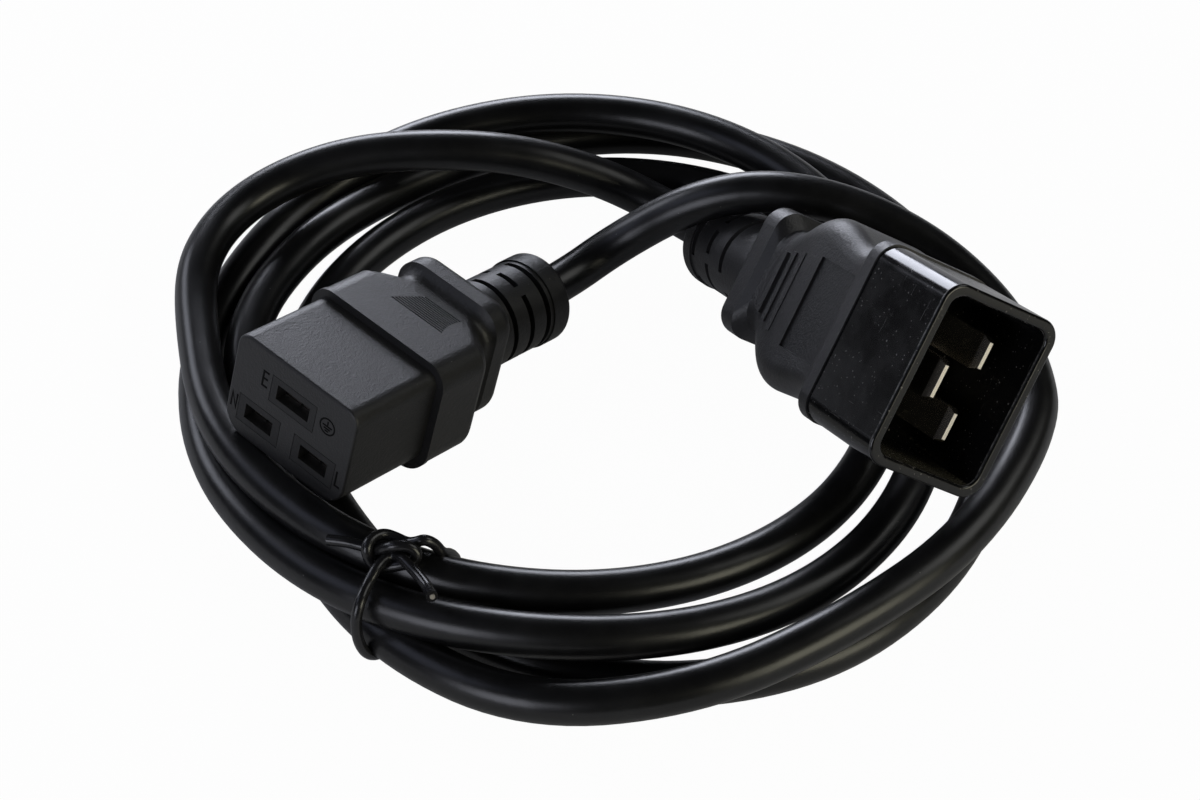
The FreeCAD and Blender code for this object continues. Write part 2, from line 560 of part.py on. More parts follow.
def route_edges(points, bend=None):
    """Straight runs joined by tangent arcs, each of one bend or as large as its runs allow."""
    edges = []
    radii = []
    start = points[0]
    for this in range(1, len(points) - 1):
        into = points[this] - points[this - 1]
        away = points[this + 1] - points[this]
        setback = 0.45 * min(into.Length, away.Length)
        turn = into.getAngle(away)
        if bend:
            setback = min(setback, bend * math.tan(turn / 2))
        into.normalize()
        away.normalize()
        first = points[this] - into * setback
        last = points[this] + away * setback
        radius = setback / math.tan(turn / 2)
        bisector = away - into
        bisector.normalize()
        middle = points[this] + bisector * (radius / math.cos(turn / 2) - radius)
        edges.append(Part.LineSegment(start, first).toShape())
        edges.append(Part.Arc(first, middle, last).toShape())
        radii.append(radius)
        start = last
    edges.append(Part.LineSegment(start, points[-1]).toShape())
    return edges, radii


def tube(points, radius, bend=None):
    """A round solid along a route, checked against its section times its length."""
    edges, radii = route_edges(points, bend)
    wire = Part.Wire(edges)
    along = points[1] - points[0]
    section = Part.Wire([Part.makeCircle(radius, points[0], along)])
    solid = wire.makePipeShell([section], True, False)
    expected = math.pi * radius ** 2 * wire.Length
    if not solid.isValid() or abs(solid.Volume - expected) > 0.01 * expected:
        raise RuntimeError("a tube of radius %.2f came out wrong" % radius)
    return solid, radii, wire.Length


def keep(label, shape, place):
    """A sub-part whose shape is set here, with its sizes read from the sheet."""
    part = doc.addObject("Part::Feature", label)
    part.Label = label
    part.Shape = shape
    part.Placement = place
    nodes.append(part)
    return part


def core_route(across, up, start, turn, join, end):
    """From a crimp to its place in the three-core pack, in the connector's own frame."""
    angle = math.atan2(up, across)
    if abs(across) < 1:
        packed = Vector(0, 0, mm("core_pack"))
    else:
        side = math.copysign(math.cos(math.radians(30)), math.cos(angle))
        packed = Vector(0, side * mm("core_pack"), -mm("core_pack") / 2)
    return [Vector(start, across, up), Vector(turn, across, up),
            Vector(join, packed.y, packed.z), Vector(end, packed.y, packed.z)]


def wiring(prefix, place, ends, stations, mould):
    """The insulated cores and their conductors, and the inner mould with a way for each core."""
    crimp, start, turn, join, jacket = stations
    solid = mould.Shape.copy()
    bend = mm("core_bend")
    for name, across, up in ends:
        route = core_route(across, up, start, turn, join, jacket)
        covered = tube(route, mm("core_radius"), bend)[0]
        bore = tube(route, mm("conductor_radius") + mm("pin_gap"), bend)[0]
        keep("%s_core_%s" % (prefix, name), covered.cut(bore), place)
        bottom = crimp - mm("barrel_depth") + mm("pin_gap")
        crimped = [Vector(bottom, across, up)] + route[1:]
        keep("%s_conductor_%s" % (prefix, name),
             tube(crimped, mm("conductor_radius"), bend)[0], place)
        early = [Vector(crimp, across, up)] + route[1:]
        solid = solid.cut(tube(early, mm("core_radius") + mm("fit_gap"), bend)[0])
    solid.Placement = FreeCAD.Placement()
    return solid


def inner_mould(prefix, place, start, top, bottom, end, ends, stations):
    """The hard block cast round the crimps and cores before the outer moulding."""
    blank = doc.addObject("PartDesign::Body", prefix + "_mould_blank")
    loft(blank, mould_sections(blank, start, top, bottom, end), prefix + "_mould_loft")
    doc.recompute()
    keep(prefix + "_inner_mould", wiring(prefix, place, ends, stations, blank), place)


# ---------------------------------------------------------------- the cord

# Points that the cord passes between the connector and the coil, and between the coil and the
# plug, where it lies over the coil's back turns.
CONNECTOR_LEAD = [(81.0, -3.2, -15.8), (89.3, -13.8, -5.0), (97.0, -24.5, -0.6),
                  (105.0, -37.5, -2.2), (109.3, -53.0, -5.8), (108.2, -68.5, -9.8),
                  (101.8, -81.0, -12.2)]
PLUG_LEAD = [(24.6, 49.2, -11.6), (36.5, 53.2, -11.2), (48.5, 50.8, -9.2), (60.0, 43.0, -6.6),
             (71.0, 31.5, -6.0), (81.0, 21.0, -8.0), (90.5, 10.5, -13.5), (96.0, 1.5, -18.5)]

# Where the loosely laid turns lie: radius from the coil's middle and height in cord diameters
# above the floor, every 45 degrees and clockwise from above, two rows for each turn.
TURNS = [
    (75.0, 1.15), (68.0, 1.0), (71.5, 0.55), (60.5, 0.0),
    (63.5, 0.7), (65.0, 0.3), (72.0, 0.0), (71.0, 0.0),
    (69.0, 0.0), (68.3, 0.0), (60.6, 0.0), (51.3, 0.05),
    (53.5, 0.0), (57.5, 0.0), (59.0, 0.0), (59.0, 0.0),
    (57.0, 0.15), (57.8, 0.55), (60.9, 1.15), (67.0, 0.65),
    (71.0, 0.3), (71.0, 1.0), (67.2, 1.0), (56.5, 1.0),
    (48.8, 0.25), (47.0, 0.6), (51.0, 1.0), (61.7, 1.25), (74.0, 1.1)]
STATIONS = 8
SECTIONS = 24


def between(before, here, after, beyond, share):
    """A smooth value a share of the way from here to after."""
    return here + 0.5 * share * (after - before + share * (
        2 * before - 5 * here + 4 * after - beyond + share * (
            3 * (here - after) + beyond - before)))


def strand(step):
    """Radius and centre height of the coiled cord after so many stations."""
    last = len(TURNS) - 1
    base = min(int(step), last - 1)
    near = [TURNS[min(max(base + shift, 0), last)] for shift in (-1, 0, 1, 2)]
    radius = between(*[turn[0] for turn in near], step - base)
    level = max(between(*[turn[1] for turn in near], step - base), 0.0)
    return radius, mm("floor_z") + (level + 0.5) * mm("cord_diameter")


def coil_point(step):
    """A point of the coiled cord's centre line in the row frame."""
    reach, height = strand(step)
    angle = math.radians(mm("coil_start") - 360.0 / STATIONS * step)
    return Vector(mm("coil_x") + reach * math.cos(angle), mm("coil_y") + reach * math.sin(angle),
                  height)


def coil_section(place):
    """Outline of all turns together at one place round the coil, from inside to outside."""
    found = []
    step = place
    while step <= len(TURNS) - 1:
        found.append(strand(step))
        step += STATIONS
    half = mm("cord_diameter") / 2
    inner = min(found)
    outer = max(found)
    crest = max(found, key=lambda turn: turn[1])
    foot = min(turn[1] for turn in found) - half
    crest_at = min(max(crest[0], inner[0] - 0.1 * half), outer[0] + 0.1 * half)
    outline = [(inner[0] - half, foot), (outer[0] + half, foot), (outer[0] + half, outer[1]),
               (outer[0] + 0.4 * half, outer[1] + half), (crest_at, crest[1] + half),
               (inner[0] - 0.4 * half, inner[1] + half), (inner[0] - half, inner[1])]
    angle = math.radians(mm("coil_start") - 360.0 / STATIONS * place)
    corners = [Vector(mm("coil_x") + reach * math.cos(angle),
                      mm("coil_y") + reach * math.sin(angle), height)
               for reach, height in outline]
    return Part.makePolygon(corners + corners[:1])


def coil_solid():
    """One closed ring with the outer shape of the coiled turns."""
    places = [STATIONS * count / SECTIONS for count in range(SECTIONS)]
    wires = [coil_section(place) for place in places]
    return Part.makeLoft(wires, True, True, True)


def cord_lead(label, points):
    """One uncoiled stretch of the cord, with its bend radii printed."""
    solid, radii, length = tube(points, mm("cord_diameter") / 2)
    print(label, "length %.0f radii" % length, " ".join("%.0f" % radius for radius in radii))
    keep(label, solid, ROW)
    return length


def in_row(place, x):
    """A point on a connector's own axis, in the row frame."""
    return place.multVec(Vector(x, 0, 0))


def cord():
    """Both leads and the coil, from one strain relief to the other."""
    ends = [Vector(*point) for point in CONNECTOR_LEAD]
    total = cord_lead("cord_lead_c19", [in_row(CONNECTOR, mm("jacket_start")),
                                        in_row(CONNECTOR, mm("lead_turn"))] + ends
                      + [coil_point(0)])
    ends = [Vector(*point) for point in PLUG_LEAD]
    total += cord_lead("cord_lead_c20", [coil_point(len(TURNS) - 1)] + ends
                       + [in_row(PLUG, mm("plug_lead_turn")),
                          in_row(PLUG, mm("plug_jacket_start"))])
    keep("cord_coil", coil_solid(), ROW)
    steps = [count / 4 for count in range(4 * (len(TURNS) - 1) + 1)]
    path = [coil_point(step) for step in steps]
    total += sum((here - there).Length for here, there in zip(path, path[1:]))
    print("cord length %.0f" % total)


# ---------------------------------------------------------------- the tie

# A thin insulated wire wound once round the bundle and twisted over it.
TIE_ROUTE = [(-9.7, -17.0, -6.5), (-9.0, -23.0, -5.0), (-5.5, -28.5, -4.6), (1.0, -31.5, -5.0),
             (5.2, -31.5, -12.0), (5.0, -31.2, -21.5), (-2.0, -30.6, -24.6), (-11.0, -30.2, -24.6),
             (-17.6, -30.6, -20.5), (-18.4, -30.8, -12.0), (-13.8, -31.0, -5.5),
             (-6.5, -31.8, -3.0), (-4.6, -35.5, -5.0), (-8.0, -39.5, -6.0)]


def tie():
    """The tie's covering, and the wire inside it, which is bare at one cut end."""
    points = [Vector(*point) for point in TIE_ROUTE]
    wire, radii, length = tube(points, mm("tie_diameter") / 2)
    print("tie length %.0f radii" % length, " ".join("%.1f" % radius for radius in radii))
    bore = tube(points, mm("tie_core_diameter") / 2)[0]
    keep("tie_wire", wire.cut(bore), ROW)
    beyond = points[-1] - points[-2]
    beyond.normalize()
    longer = points[:-1] + [points[-1] + beyond * mm("tie_bare")]
    keep("tie_conductor", tube(longer, mm("tie_core_diameter") / 2)[0], ROW)


# ---- BUILD

housing = connector_housing()
connector_cavities(housing)
connector_carrier()
for name, across, up, width in slots():
    female_contact(name, across, up, width)
inner_mould("c19", CONNECTOR, "block_end", "mould_top", "mould_bottom", "mould_end",
            [("line", -mm("contact_offset"), -mm("slot_low")),
             ("neutral", mm("contact_offset"), -mm("slot_low")), ("earth", 0.0, mm("slot_high"))],
            [mm(name) for name in ("barrel_end", "core_start", "core_turn", "core_join",
                                   "jacket_start")])
plug_shroud()
for pin in plug_pins():
    male_pin(*pin)
shell = plug_housing()
plug_cavities(shell)
inner_mould("c20", PLUG, "tail_end", "plug_mould_top", "plug_mould_bottom", "plug_mould_end",
            [("line", -mm("contact_offset"), -mm("pin_low")),
             ("neutral", mm("contact_offset"), -mm("pin_low")), ("earth", 0.0, mm("pin_high"))],
            [mm(name) for name in ("plug_barrel_end", "plug_core_start", "plug_core_turn",
                                   "plug_core_join", "plug_jacket_start")])
cord()
tie()
doc.recompute()

for item in doc.Objects:
    if "Invalid" in item.State or "Error" in item.State:
        raise RuntimeError("%s failed to recompute" % item.Label)
for node in nodes:
    if node.Shape.isNull() or not node.Shape.isValid():
        raise RuntimeError("%s has no valid shape" % node.Label)

os.makedirs("parts", exist_ok=True)
for node in nodes:
    node.Shape.exportStep("parts/%s.step" % node.Label)
    print("%-22s %9.1f mm3, %d solid" % (node.Label, node.Shape.Volume, len(node.Shape.Solids)))
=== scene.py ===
"""A power cord that lies coiled, with a C19 connector at one end and a C20 plug at the other.

The housings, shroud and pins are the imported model's own solids in worked finishes. The cord is
one smooth line from strain relief to strain relief, the tie is a thinner one that is knotted round
the coil, and the marks on the connector's face are strokes set on it. Lengths are in metres, in
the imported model's frame, unless a comment says millimetres.
"""
import math

import bpy
import numpy as np
from mathutils import Matrix, Vector


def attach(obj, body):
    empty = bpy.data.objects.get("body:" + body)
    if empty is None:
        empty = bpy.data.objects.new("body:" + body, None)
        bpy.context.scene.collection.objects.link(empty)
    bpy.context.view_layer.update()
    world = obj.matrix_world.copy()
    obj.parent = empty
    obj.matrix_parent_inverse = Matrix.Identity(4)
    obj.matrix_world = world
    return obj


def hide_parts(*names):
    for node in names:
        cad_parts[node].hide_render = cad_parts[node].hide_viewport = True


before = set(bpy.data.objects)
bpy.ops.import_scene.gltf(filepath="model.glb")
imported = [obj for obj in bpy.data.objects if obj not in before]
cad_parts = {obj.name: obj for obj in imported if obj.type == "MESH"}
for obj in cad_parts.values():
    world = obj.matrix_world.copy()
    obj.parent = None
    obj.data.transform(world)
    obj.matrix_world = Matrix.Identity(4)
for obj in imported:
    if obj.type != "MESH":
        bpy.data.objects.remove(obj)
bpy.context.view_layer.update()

MM = 0.001
FLOOR_Z = -25.6 * MM
CORD_DIAMETER = 7.6 * MM


# ---------------------------------------------------------------- where the two ends lie

def lying(origin, yaw, pitch, roll):
    """A connector's own frame: turned about z, then y, then x, and moved to its face's middle."""
    turn = Matrix.Identity(4)
    for angle, axis in ((yaw, "Z"), (pitch, "Y"), (roll, "X")):
        turn = turn @ Matrix.Rotation(math.radians(angle), 4, axis)
    return Matrix.Translation(Vector(origin) * MM) @ turn


CONNECTOR = lying((0, 0, 0), 0, 15.69, 3.81)
PLUG = lying((66.6, -88.8, 14.36), 68.4, 22.2, -50.0)


def placed(points, place):
    """Points in millimetres of a connector's own frame, as metres in the row frame."""
    turned = np.asarray(points, float) * MM @ np.array(place.to_3x3()).T
    return turned + np.array(place.translation)


# ---------------------------------------------------------------- finishes

class Signal:
    """A value on its way through a finish. Python's operators add its Math nodes."""

    def __init__(self, finish, socket):
        self.finish = finish
        self.socket = socket

    def maths(self, operation, *values):
        return self.finish.node("ShaderNodeMath", {"operation": operation}, values)

    def __add__(self, other):
        return self.maths("ADD", self, other)

    def __rsub__(self, other):
        return self.maths("SUBTRACT", other, self)

    def __mul__(self, other):
        return self.maths("MULTIPLY", self, other)

    def __abs__(self):
        return self.maths("ABSOLUTE", self)

    __radd__ = __add__
    __rmul__ = __mul__

    def band(self, low, high):
        """0 below low, 1 above high and a smooth rise between them."""
        return self.finish.node("ShaderNodeMapRange", {"interpolation_type": "SMOOTHSTEP"},
                                {"Value": self, "From Min": low, "From Max": high})

    def within(self, low, high, soft):
        """1 between low and high, falling to 0 over soft outside them."""
        return self.band(low - soft, low) * (1 - self.band(high, high + soft))

    def inside(self, half, soft):
        """1 where the value's size is under half, falling to 0 over soft beyond it."""
        return 1 - abs(self).band(half, half + soft)


class Finish:
    """A material built from nodes round one Principled shader."""

    def __init__(self, name, **constants):
        self.material = bpy.data.materials.new(name)
        self.material.use_nodes = True
        self.tree = self.material.node_tree
        self.shader = self.tree.nodes["Principled BSDF"]
        for socket, value in constants.items():
            self.shader.inputs[socket.replace("_", " ")].default_value = value

    def feed(self, socket, value):
        """Link a Signal into a socket, or set the socket's own value."""
        if isinstance(value, Signal):
            self.tree.links.new(value.socket, socket)
        else:
            socket.default_value = value

    def node(self, kind, settings=None, values=(), output=0):
        """Any node: its settings first, then its sockets by name or in order."""
        made = self.tree.nodes.new(kind)
        for setting, value in (settings or {}).items():
            setattr(made, setting, value)
        pairs = values.items() if isinstance(values, dict) else enumerate(values)
        for socket, value in pairs:
            self.feed(made.inputs[socket], value)
        return Signal(self, made.outputs[output])

    def where(self):
        """The point's place in the row frame."""
        return self.node("ShaderNodeTexCoord", output="Object")

    def own_frame(self, place):
        """The point's place in a connector's own frame, in metres."""
        back = place.inverted()
        return self.node("ShaderNodeMapping", {"vector_type": "POINT"},
                         {"Vector": self.where(), "Location": back.translation,
                          "Rotation": back.to_euler("XYZ")})

    def axes(self, place):
        """The point's three coordinates in a connector's own frame, in metres."""
        own = self.own_frame(place)
        return [self.node("ShaderNodeSeparateXYZ", values=[own], output=axis)
                for axis in range(3)]

    def grain(self, size, detail=2.0, roughness=0.5, stretch=(1, 1, 1), at=None):
        """Noise from 0 to 1 whose lumps are about size metres across, drawn out by stretch."""
        point = at or self.where()
        if tuple(stretch) != (1, 1, 1):
            point = self.node("ShaderNodeMapping", {"vector_type": "POINT"},
                              {"Vector": point, "Scale": [1 / share for share in stretch]})
        return self.node("ShaderNodeTexNoise", values={
            "Vector": point, "Scale": 1 / size, "Detail": detail, "Roughness": roughness})

    def specks(self, spacing, size, at=None):
        """1 at scattered dots and 0 between them."""
        far = self.node("ShaderNodeTexVoronoi", {"feature": "F1"},
                        {"Vector": at or self.where(), "Scale": 1 / spacing})
        return 1 - far.band(0.6 * size / spacing, size / spacing)

    def blend(self, share, first, second):
        """First colour where share is 0, second where it is 1."""
        mixed = self.tree.nodes.new("ShaderNodeMix")
        mixed.data_type = "RGBA"
        self.feed(mixed.inputs["Factor"], share)
        for socket, colour in ((mixed.inputs[6], first), (mixed.inputs[7], second)):
            self.feed(socket, colour if isinstance(colour, Signal) else (*colour, 1.0))
        return Signal(self, mixed.outputs[2])

    def relief(self, height, depth, strength=1.0, under=None):
        """Turn a height from 0 to 1 into a normal, for a relief of so many metres."""
        values = {"Strength": strength, "Distance": depth, "Height": height}
        if under:
            values["Normal"] = under
        return self.node("ShaderNodeBump", values=values)

    def set(self, **sockets):
        """Feed the Principled shader's sockets."""
        for socket, value in sockets.items():
            self.feed(self.shader.inputs[socket.replace("_", " ")], value)
        return self.material


DUST = (0.2, 0.2, 0.19)
SHROUD_DUST = (0.25, 0.24, 0.22)
PANEL_REACH = (25.0 * MM, 35.9 * MM)      # the plug's sunk panel, in the plug's own frame
PANEL_HALF = 8.3 * MM
PANEL_LEVEL = (10.5 * MM, 10.9 * MM)
PANEL_SOFT = 0.15 * MM


def moulded_plastic(name, tone, rough, panel=False):
    """Matt black moulding: sparked grain, faint flow clouds, a few dust specks.

    With panel set, the plug's sunk panel is darker than the rest.
    """
    finish = Finish(name, IOR=1.5, Specular_IOR_Level=0.5)
    clouds = finish.grain(9 * MM, 3.0, 0.6)
    fine = finish.grain(0.4 * MM, 3.0, 0.65)
    pits = finish.grain(0.9 * MM, 2.0, 0.5)
    dust = finish.specks(3.2 * MM, 0.13 * MM)
    shade = finish.blend(clouds.band(0.3, 0.7), [0.85 * part for part in tone],
                         [1.2 * part for part in tone])
    if panel:
        ahead, side, up = finish.axes(PLUG)
        smooth = (ahead.within(*PANEL_REACH, PANEL_SOFT) * side.inside(PANEL_HALF, PANEL_SOFT)
                  * up.band(*PANEL_LEVEL))
        shade = finish.blend(smooth, shade, [0.4 * part for part in tone])
    colour = finish.blend(dust * 0.5, shade, DUST)
    bumps = finish.relief(fine, 0.08 * MM, 0.9)
    return finish.set(Base_Color=colour, Roughness=rough - 0.05 + 0.1 * clouds,
                      Normal=finish.relief(pits, 0.07 * MM, 0.6, bumps))


def polished_shroud():
    """Polished black plastic with dust in clouds, a few hairline scratches and a patchy painted
    highlight along the rim.

    The dust is thickest on the cavity's lower end wall, near the mouth.
    """
    finish = Finish("polished_shroud", IOR=1.5)
    along = finish.grain(0.25 * MM, 2.0, 0.5, (1, 26, 1), finish.own_frame(PLUG))
    across = finish.grain(0.3 * MM, 2.0, 0.5, (22, 1.5, 1), finish.own_frame(PLUG))
    hairs = along.band(0.72, 0.78) + across.band(0.72, 0.78)
    clouds = finish.grain(7 * MM, 3.0, 0.6).band(0.35, 0.65)
    dust = (finish.specks(0.9 * MM, 0.13 * MM) + finish.specks(1.7 * MM, 0.2 * MM)) * clouds
    grime = dust + finish.specks(3.7 * MM, 0.22 * MM)
    ahead, side, up = finish.axes(PLUG)
    # Painted highlight: a patchy pale band just behind the rim's front face stands in for the
    # glints on its rounded edges, and it also roughens the rim there.
    rim_highlight = (ahead.within(0.4 * MM, 0.55 * MM, 0.12 * MM)
            * finish.grain(0.9 * MM, 3.0, 0.7).band(0.2, 0.7))
    settled = (side.within(13.9 * MM, 14.9 * MM, 0.3 * MM) * up.inside(11.0 * MM, 0.5 * MM)
               * ahead.band(0.7 * MM, 1.1 * MM) * (1 - ahead.band(2 * MM, 16 * MM))
               * finish.grain(0.5 * MM, 4.0, 0.7).band(0.3, 0.7))
    colour = finish.blend(grime * 0.5 + hairs * 0.1, (0.004, 0.004, 0.0042), SHROUD_DUST)
    # The rim's painted highlight, in pale grey.
    colour = finish.blend(rim_highlight, colour, (0.14, 0.137, 0.13))
    colour = finish.blend(settled, colour, (0.15, 0.14, 0.1))
    return finish.set(Base_Color=colour,
                      Roughness=0.14 + 0.06 * clouds + 0.2 * hairs + 0.3 * grime + 0.15 * rim_highlight,
                      Normal=finish.relief(finish.grain(3 * MM, 1.0), 0.03 * MM, 0.4))


def cord_jacket():
    """Satin black jacket: soft ripples from the cores laid up in it, and a faint drawn grain."""
    finish = Finish("cord_jacket", IOR=1.5, Specular_IOR_Level=0.5)
    ripple = finish.grain(7 * MM, 1.5, 0.4)
    fine = finish.grain(0.5 * MM, 3.0, 0.6)
    haze = finish.grain(14 * MM, 4.0, 0.65)
    dust = finish.specks(4.5 * MM, 0.14 * MM)
    colour = finish.blend(haze.band(0.35, 0.7), (0.004, 0.004, 0.0043), (0.009, 0.009, 0.0094))
    colour = finish.blend(dust * 0.5, colour, DUST)
    bumps = finish.relief(ripple, 0.3 * MM, 0.35)
    return finish.set(Base_Color=colour, Roughness=0.25 + 0.12 * haze,
                      Normal=finish.relief(fine, 0.04 * MM, 0.35, bumps))


def nickel_plate(place):
    """Nickel over drawn brass: fine lines along the pin and a slightly mottled polish."""
    finish = Finish("nickel_plate_%s" % ("plug" if place is PLUG else "connector"), Metallic=1.0)
    drawn = finish.grain(0.12 * MM, 2.0, 0.6, (20, 1, 1), finish.own_frame(place))
    clouds = finish.grain(3.5 * MM, 2.0, 0.5)
    colour = finish.blend(clouds, (0.95, 0.88, 0.77), (0.84, 0.77, 0.66))
    return finish.set(Base_Color=colour, Roughness=0.16 + 0.08 * clouds,
                      Normal=finish.relief(drawn, 0.02 * MM, 0.12))


def smooth_covering(name, colour, rough, shine=0.5):
    """Smooth plastic with a slight orange peel."""
    finish = Finish(name, IOR=1.5, Specular_IOR_Level=shine)
    peel = finish.grain(1.6 * MM, 1.0)
    tint = finish.blend(finish.grain(4 * MM, 2.0), [0.8 * part for part in colour],
                        [1.15 * part for part in colour])
    return finish.set(Base_Color=tint, Roughness=rough + 0.06 * peel,
                      Normal=finish.relief(peel, 0.03 * MM, 0.25))


def drawn_metal(name, colour):
    """Bright drawn wire."""
    finish = Finish(name, Metallic=1.0)
    marks = finish.grain(0.15 * MM, 3.0)
    tint = finish.blend(marks, colour, [0.75 * part for part in colour])
    return finish.set(Base_Color=tint, Roughness=0.25 + 0.2 * marks,
                      Normal=finish.relief(marks, 0.02 * MM, 0.4))


FINISHES = {
    "c19_housing": moulded_plastic("connector_moulding", (0.01, 0.01, 0.0104), 0.44),
    "c20_housing": moulded_plastic("plug_moulding", (0.025, 0.0248, 0.025), 0.4, panel=True),
    "c19_carrier": moulded_plastic("slot_insert", (0.005, 0.005, 0.0052), 0.6),
    "c20_shroud": polished_shroud(),
    "c19_contact": nickel_plate(CONNECTOR),
    "c20_pin": nickel_plate(PLUG),
    "c19_inner_mould": smooth_covering("inner_mould", (0.6, 0.58, 0.53), 0.5),
    "tie_wire": smooth_covering("tie_covering", (0.012, 0.012, 0.013), 0.22),
    "tie_conductor": drawn_metal("tie_metal", (0.8, 0.76, 0.7)),
    "line": smooth_covering("line_core", (0.16, 0.06, 0.03), 0.35),
    "neutral": smooth_covering("neutral_core", (0.03, 0.09, 0.35), 0.35),
    "earth": smooth_covering("earth_core", (0.12, 0.3, 0.04), 0.35),
    "conductor": drawn_metal("copper", (0.78, 0.42, 0.26)),
}
FINISHES["c20_inner_mould"] = FINISHES["c19_inner_mould"]


def finish_of(node):
    """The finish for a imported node, by its own name or by its kind."""
    if node in FINISHES:
        return FINISHES[node]
    kind = node.rsplit("_", 1)[0]
    if kind in FINISHES:
        return FINISHES[kind]
    return FINISHES["conductor" if "conductor" in node else node.rsplit("_", 1)[1]]


# ---------------------------------------------------------------- the cord

CONNECTOR_LEAD = [(81.0, -3.2, -15.8), (89.3, -13.8, -5.0), (97.0, -24.5, -0.6),
                  (105.0, -37.5, -2.2), (109.3, -53.0, -5.8), (108.2, -68.5, -9.8),
                  (101.8, -81.0, -12.2)]
PLUG_LEAD = [(24.6, 49.2, -11.6), (36.5, 53.2, -11.2), (48.5, 50.8, -9.2), (60.0, 43.0, -6.6),
             (71.0, 31.5, -6.0), (81.0, 21.0, -8.0), (90.5, 10.5, -13.5), (96.0, 1.5, -18.5)]

# Radius from the coil's middle in millimetres and height above the floor in cord diameters, one
# station every 45 degrees and clockwise from above.
TURNS = [
    (75.0, 1.15), (68.0, 1.0), (71.5, 0.55), (60.5, 0.0),
    (66.0, 0.7), (65.8, 0.3), (72.0, 0.0), (71.0, 0.0),
    (69.0, 0.0), (68.3, 0.0), (60.6, 0.0), (53.2, 0.05),
    (56.5, 0.0), (58.4, 0.0), (59.0, 0.0), (59.0, 0.0),
    (57.0, 0.15), (57.8, 0.55), (60.9, 1.15), (67.0, 0.65),
    (74.0, 0.1), (71.8, 0.9), (67.2, 1.0), (56.5, 1.0),
    (48.8, 0.25), (47.0, 0.6), (51.0, 1.0), (61.7, 1.25), (74.0, 1.1)]
COIL_MIDDLE = (53.5, -24.0)
COIL_START = 300.0
STATION_ANGLE = 45.0
REACH = 1.0196          # control points lie this much further out, as the spline cuts inside them


def between(before, here, after, beyond, share):
    """A smooth value a share of the way from here to after."""
    return here + 0.5 * share * (after - before + share * (
        2 * before - 5 * here + 4 * after - beyond + share * (
            3 * (here - after) + beyond - before)))


def coil_points():
    """Control points of the coiled turns, two for each station of TURNS."""
    last = len(TURNS) - 1
    points = []
    for half_step in range(2 * last + 1):
        step = half_step / 2
        base = min(int(step), last - 1)
        near = [TURNS[min(max(base + shift, 0), last)] for shift in (-1, 0, 1, 2)]
        radius = REACH * between(*[turn[0] for turn in near], step - base)
        level = max(between(*[turn[1] for turn in near], step - base), 0.0)
        angle = math.radians(COIL_START - STATION_ANGLE * step)
        points.append((COIL_MIDDLE[0] + radius * math.cos(angle),
                       COIL_MIDDLE[1] + radius * math.sin(angle),
                       (FLOOR_Z + (level + 0.5) * CORD_DIAMETER) / MM))
    return points


def smooth_line(name, points, diameter, around=10, along=10):
    """A round cord on one quadratic NURBS spline whose control points are given in metres."""
    line = bpy.data.curves.new(name, "CURVE")
    line.dimensions = "3D"
    line.bevel_depth = diameter / 2
    line.bevel_resolution = around
    line.resolution_u = along
    line.use_fill_caps = True
    spline = line.splines.new("NURBS")
    spline.points.add(len(points) - 1)
    spline.points.foreach_set("co", [part for point in points for part in (*point, 1.0)])
    spline.order_u = 3
    spline.use_endpoint_u = True
    spline.use_smooth = True
    piece = bpy.data.objects.new(name, line)
    bpy.context.scene.collection.objects.link(piece)
    return piece


def make_cord(pieces):
    """The whole cord, from inside one strain relief to inside the other. The pieces argument is
    not used.
    """
    route = np.vstack([
        placed([(56.5, 0, 0), (70.5, 0, 0)], CONNECTOR),
        np.array(CONNECTOR_LEAD + coil_points() + PLUG_LEAD) * MM,
        placed([(90.0, 0, 0), (78.5, 0, 0)], PLUG)])
    cord = smooth_line("cord", route.tolist(), CORD_DIAMETER)
    cord.data.materials.append(cord_jacket())
    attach(cord, "root")
    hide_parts("cord_lead_c19", "cord_coil", "cord_lead_c20")


# From the tail that lies on the cord, through the knot and round the bundle, to the cut end.
TIE_ROUTE = [(-9.5, -17.4, -8.9), (-8.2, -20.1, -8.4), (-7.2, -22.1, -8.6), (-6.5, -23.9, -8.6),
             (-6.1, -26.1, -7.8), (-5.5, -27.9, -6.1), (-4.3, -29.3, -5.7), (-3.2, -30.7, -6.2),
             (-3.0, -31.8, -7.5), (-3.9, -31.4, -8.7), (-5.3, -30.2, -9.2), (-6.5, -28.6, -9.8),
             (-7.7, -26.7, -10.5), (-8.1, -25.4, -9.1), (-7.9, -24.7, -7.0), (-6.2, -24.2, -6.4),
             (-3.6, -24.5, -7.0), (-2.5, -26.3, -7.7), (-2.0, -28.3, -8.0), (-1.5, -29.7, -7.3),
             (-0.4, -30.9, -6.5), (0.9, -32.0, -8.1), (1.4, -33.0, -10.2), (4.0, -32.4, -12.9),
             (6.4, -31.4, -18.0), (5.0, -31.0, -24.3), (-4.0, -31.2, -24.6),
             (-11.0, -31.6, -24.6), (-15.2, -31.8, -22.6), (-17.2, -31.3, -18.4),
             (-17.1, -30.6, -12.8), (-15.0, -30.0, -9.5), (-11.7, -28.6, -9.4),
             (-9.3, -28.2, -8.1), (-6.5, -27.6, -8.4), (-4.9, -28.3, -8.2), (-5.4, -31.1, -7.3),
             (-5.8, -33.6, -7.6), (-6.9, -36.9, -7.0), (-7.9, -39.0, -6.4), (-9.2, -40.8, -5.1)]
TIE_DIAMETER = 1.9 * MM
TIE_CORE_DIAMETER = 0.9 * MM
TIE_CORE_SHOWS = 0.35 * MM


